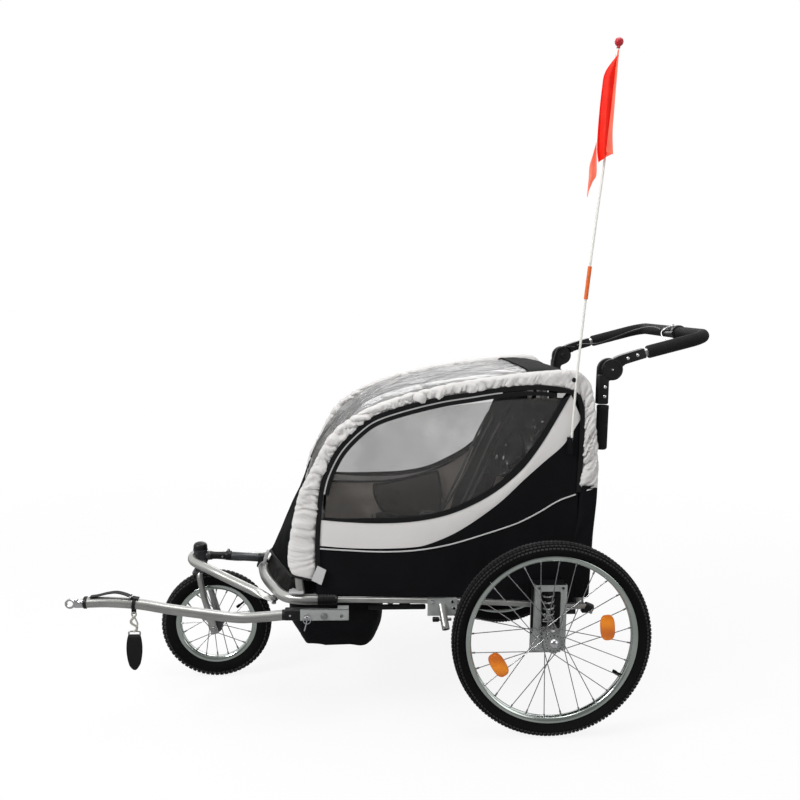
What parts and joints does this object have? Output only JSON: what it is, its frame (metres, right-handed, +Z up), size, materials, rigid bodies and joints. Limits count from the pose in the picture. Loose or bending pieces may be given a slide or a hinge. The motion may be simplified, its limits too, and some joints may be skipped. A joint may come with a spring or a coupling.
{
  "type": "child bike trailer",
  "caption": "Child bike trailer: arched fabric cabin on sprung spoked wheels, side tow bar, swivelling front wheel kit, tilting push handle and safety flag.",
  "frame": {"origin": "on the ground under the middle of the whole trailer's box, halfway between the hitch eye's front and the handle's back", "axes": "+X to the rear, -Y to the left side with the tow bar and the flag, +Z up"},
  "size_m": [1.6227, 0.825, 1.7029],
  "materials": {
    "silver_paint": "satin silver paint",
    "zinc": "bright plated metal",
    "chrome": "polished",
    "dark_grey_paint": "satin",
    "black_plastic": "fine grain",
    "black_foam": "closed-cell foam",
    "tyre_rubber": "matt",
    "cable_cover": "smooth sheath",
    "black_cloth": "coated woven cloth",
    "grey_cloth": "coated woven cloth",
    "clear_film": "clear film, see-through",
    "black_webbing": "woven webbing",
    "amber_lens": "moulded lens",
    "signal_orange": "bright woven cloth",
    "glass_fibre": "pultruded rod"
  },
  "bodies": {
    "chassis": {"floor_frame": "silver_paint", "front_bow": "silver_paint", "bow_sleeve_left": "black_plastic", "bow_sleeve_right": "black_plastic", "rail_joint_left": "black_plastic", "rail_joint_right": "black_plastic", "cabin_frame": "silver_paint", "receiver_bracket": "silver_paint", "stroller_arm": "silver_paint", "head_cap": "black_plastic", "brace_strut": "dark_grey_paint", "suspension_bracket_left": "zinc", "suspension_bracket_right": "zinc", "spring_left": "zinc", "spring_right": "zinc", "knuckle_base_left": "black_plastic", "knuckle_base_right": "black_plastic", "side_cover_left": "grey_cloth", "side_cover_right": "grey_cloth", "roof_cover": "clear_film", "back_panel": "black_cloth", "floor_tub": "black_cloth", "seat_back": "black_cloth", "seat_base": "black_cloth", "brake_cable_lower": "cable_cover"},
    "fork": {"fork": "silver_paint"},
    "front_wheel": {"front_wheel": "zinc", "front_tyre": "tyre_rubber"},
    "handle": {"knuckle_top_left": "black_plastic", "knuckle_top_right": "black_plastic", "handle_tube": "silver_paint", "handle_grip": "black_foam", "brake_clamp": "black_plastic", "brake_cable_upper": "cable_cover"},
    "brake_lever": {"brake_lever": "black_plastic"},
    "tow_bar": {"tow_block": "black_plastic", "tow_tube": "silver_paint", "safety_strap": "black_webbing"},
    "hitch_coupler": {"hitch_coupler": "zinc"},
    "hanger": {"snap_hook": "chrome", "strap_loop": "black_webbing"},
    "hitch_pin": {"hitch_pin": "zinc"},
    "flag": {"flag_pole": "glass_fibre", "flag_ferrule": "signal_orange", "flag": "signal_orange"},
    "carrier_left": {"axle_carrier_left": "black_plastic", "rear_axle_left": "zinc"},
    "wheel_left": {"rear_wheel_left": "zinc", "rear_tyre_left": "tyre_rubber", "reflector_1_left": "amber_lens", "reflector_2_left": "amber_lens"},
    "tilt_button_left": {"tilt_button_left": "zinc"},
    "carrier_right": {"axle_carrier_right": "black_plastic", "rear_axle_right": "zinc"},
    "wheel_right": {"rear_wheel_right": "zinc", "rear_tyre_right": "tyre_rubber", "reflector_1_right": "amber_lens", "reflector_2_right": "amber_lens"},
    "tilt_button_right": {"tilt_button_right": "zinc"}
  },
  "joints": [
    {"name": "suspension_left", "type": "slide", "parent": "chassis", "child": "carrier_left", "axis": [0, 0, 1], "range_m": [0, 0.03], "stiffness_N_per_m": 6000, "springref_m": -0.025, "deforming": ["spring_left"]},
    {"name": "rear_wheel_spin_left", "type": "hinge", "parent": "carrier_left", "child": "wheel_left", "pos_m": [0.39164, -0.376, 0.25], "axis": [0, 1, 0], "continuous": true},
    {"name": "tilt_button_press_left", "type": "slide", "parent": "chassis", "child": "tilt_button_left", "axis": [0, -1, 0], "range_m": [0, 0.003], "stiffness_N_per_m": 800, "springref_m": -0.002},
    {"name": "suspension_right", "type": "slide", "parent": "chassis", "child": "carrier_right", "axis": [0, 0, 1], "range_m": [0, 0.03], "stiffness_N_per_m": 6000, "springref_m": -0.025, "deforming": ["spring_right"]},
    {"name": "rear_wheel_spin_right", "type": "hinge", "parent": "carrier_right", "child": "wheel_right", "pos_m": [0.39164, 0.376, 0.25], "axis": [0, 1, 0], "continuous": true},
    {"name": "tilt_button_press_right", "type": "slide", "parent": "chassis", "child": "tilt_button_right", "axis": [0, 1, 0], "range_m": [0, 0.003], "stiffness_N_per_m": 800, "springref_m": -0.002},
    {"name": "fork_swivel", "type": "hinge", "parent": "chassis", "child": "fork", "pos_m": [-0.53186, 0, 0.334], "axis": [0, 0, 1], "continuous": true},
    {"name": "front_wheel_spin", "type": "hinge", "parent": "fork", "child": "front_wheel", "pos_m": [-0.48836, 0, 0.155], "axis": [0, 1, 0], "continuous": true},
    {"name": "handle_tilt", "type": "hinge", "parent": "chassis", "child": "handle", "pos_m": [0.55164, 0, 0.911], "axis": [0, -1, 0], "range_deg": [-45, 60]},
    {"name": "brake_lever_pull", "type": "hinge", "parent": "handle", "child": "brake_lever", "pos_m": [0.75672, -0.05, 0.99553], "axis": [-0.3305, 0, 0.9438], "range_deg": [0, 9], "stiffness_Nm_per_rad": 0.3, "springref_deg": -11.46},
    {"name": "tow_bar_fold", "type": "hinge", "parent": "chassis", "child": "tow_bar", "pos_m": [-0.17136, -0.3058, 0.294], "axis": [0, -1, 0], "range_deg": [0, 150]},
    {"name": "hitch_swivel", "type": "hinge", "parent": "tow_bar", "child": "hitch_coupler", "pos_m": [-0.75536, -0.3058, 0.3295], "axis": [1, 0, 0], "range_deg": [-60, 60]},
    {"name": "hanger_swing", "type": "hinge", "parent": "tow_bar", "child": "hanger", "pos_m": [-0.64336, -0.3058, 0.30095], "axis": [0, 1, 0], "range_deg": [-50, 50]},
    {"name": "hitch_pin_pull", "type": "slide", "parent": "chassis", "child": "hitch_pin", "axis": [0, -1, 0], "range_m": [0, 0.07]},
    {"name": "flag_lift_out", "type": "slide", "parent": "chassis", "child": "flag", "axis": [0.0325, 0, 0.9995], "range_m": [0, 0.2]}
  ]
}
